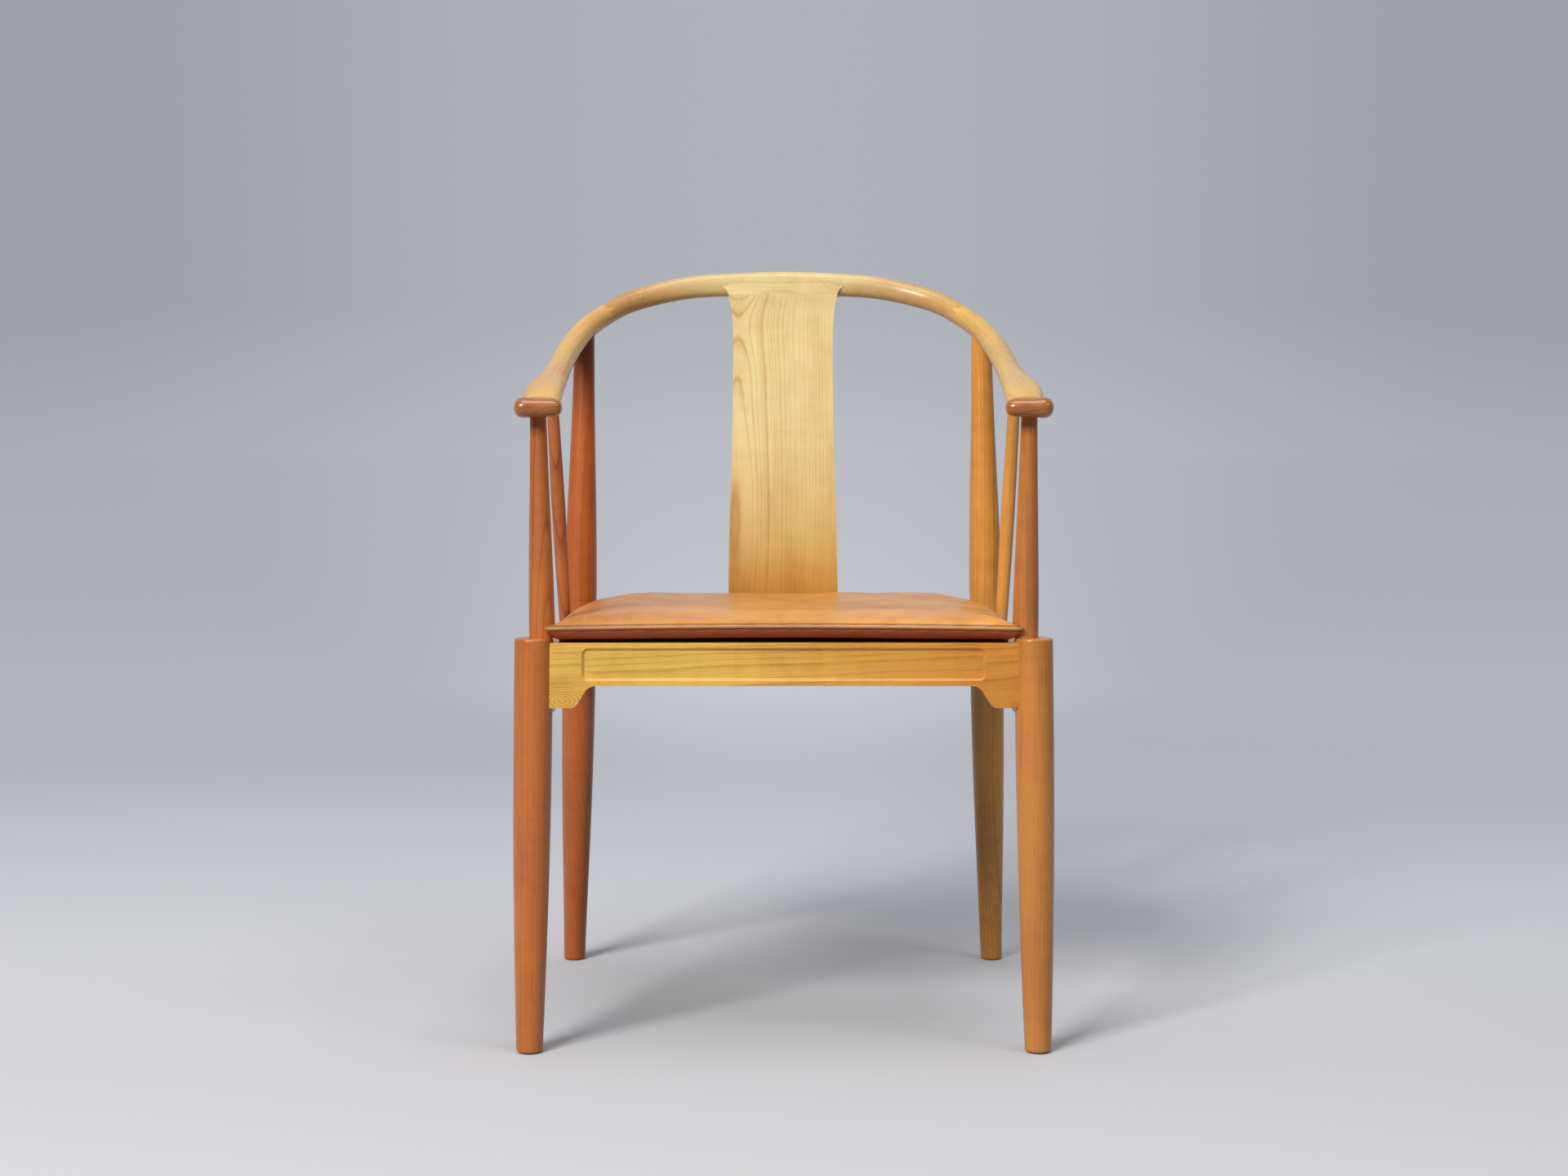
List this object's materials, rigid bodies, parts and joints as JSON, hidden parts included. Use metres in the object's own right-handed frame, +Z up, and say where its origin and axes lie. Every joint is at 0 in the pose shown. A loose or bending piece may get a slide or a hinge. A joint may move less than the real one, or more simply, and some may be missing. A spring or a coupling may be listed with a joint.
{
  "type": "horseshoe back armchair",
  "caption": "Armchair with round tapered legs, one bow that is both arm rest and back, a waisted splat, panelled seat rails and a loose leather cushion.",
  "frame": {"origin": "on the floor, under the middle of the chair's bounding box", "axes": "+Z up; the sitter faces -Y; +X is the right-hand side of somebody who looks at the chair from the front"},
  "size_m": [0.549, 0.5496, 0.8242],
  "materials": {
    "cherry": "clear satin lacquer",
    "beech": "plain sanded",
    "leather": "natural vegetable-tanned leather with piping",
    "webbing": "woven jute",
    "steel": "zinc-plated",
    "nylon": "matte"
  },
  "bodies": {
    "frame": {"arm_knob_left": "cherry", "arm_knob_right": "cherry", "arm_post_left": "cherry", "arm_post_right": "cherry", "back_splat": "cherry", "bow_arm_left": "cherry", "bow_arm_right": "cherry", "bow_centre": "cherry", "corner_block_front_left": "beech", "corner_block_front_right": "beech", "corner_block_rear_left": "beech", "corner_block_rear_right": "beech", "corner_block_screws": "steel", "floor_glides": "nylon", "front_leg_left": "cherry", "front_leg_right": "cherry", "front_rail": "cherry", "knob_dowels": "beech", "rear_leg_left": "cherry", "rear_leg_right": "cherry", "rear_rail": "cherry", "seat_frame_front_bar": "beech", "seat_frame_rear_bar": "beech", "seat_frame_screws": "steel", "seat_frame_side_bar_left": "beech", "seat_frame_side_bar_right": "beech", "side_rail_left": "cherry", "side_rail_right": "cherry", "spindle_left": "cherry", "spindle_right": "cherry", "webbing_crosswise": "webbing", "webbing_lengthwise": "webbing", "webbing_tacks": "steel"},
    "cushion": {"seat_cushion": "leather"}
  },
  "joints": [
    {"name": "cushion_lift", "type": "slide", "parent": "frame", "child": "cushion", "axis": [0, 0, 1], "range_m": [0, 0.15]}
  ]
}
